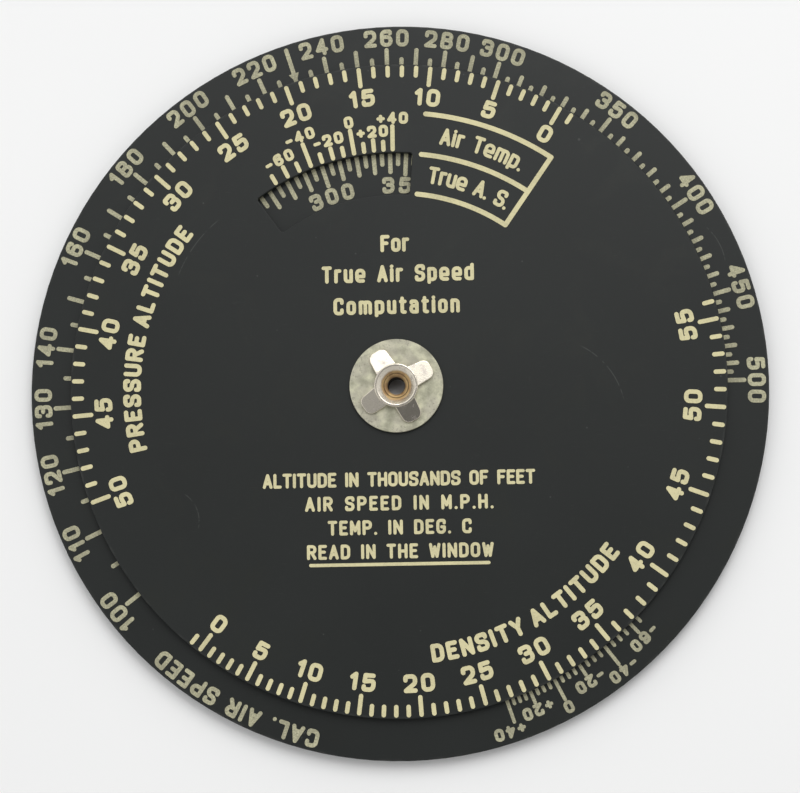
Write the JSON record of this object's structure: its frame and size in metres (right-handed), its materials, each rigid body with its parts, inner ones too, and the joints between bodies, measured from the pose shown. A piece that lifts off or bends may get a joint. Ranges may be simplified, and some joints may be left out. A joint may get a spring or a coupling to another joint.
{
  "type": "circular air speed computer",
  "caption": "Round pilot's calculator: a printed black base disc, a smaller turning dial with an arc-shaped window, and a clinched tubular eyelet with a washer at the centre.",
  "frame": {"origin": "on the pivot axis, at the lowest point of the eyelet's back flange", "axes": "+Z out of the printed face along the pivot, +Y towards the top of the dial's captions at rest"},
  "size_m": [0.1016, 0.1016, 0.0043],
  "materials": {
    "base_plastic": "satin black sheet plastic, lightly scuffed",
    "dial_plastic": "satin black sheet plastic, lightly scuffed",
    "fibre": "thin brown fibre washer",
    "washer_metal": "dull nickel plate, mottled with age",
    "eyelet_metal": "bright nickel plate on brass, worn to the brass in the bore",
    "base_ink": "dulled cream paint",
    "dial_ink": "cream paint"
  },
  "bodies": {
    "base": {"base_disc": "base_plastic", "spacer_washer": "fibre", "air_speed_ticks": "base_ink", "true_speed_ticks": "base_ink", "rim_temperature_ticks": "base_ink"},
    "dial": {"top_disc": "dial_plastic", "pressure_altitude_ticks": "dial_ink", "density_altitude_ticks": "dial_ink", "window_temperature_ticks": "dial_ink", "caption_frame": "dial_ink"},
    "pivot": {"pivot_eyelet": "eyelet_metal", "front_washer": "washer_metal"}
  },
  "joints": [
    {"name": "dial_turn", "type": "hinge", "parent": "base", "child": "dial", "pos_m": [0, 0, 0.0021], "axis": [0, 0, 1], "continuous": true},
    {"name": "pivot_turn", "type": "hinge", "parent": "base", "child": "pivot", "pos_m": [0, 0, 0.0021], "axis": [0, 0, 1], "continuous": true}
  ]
}
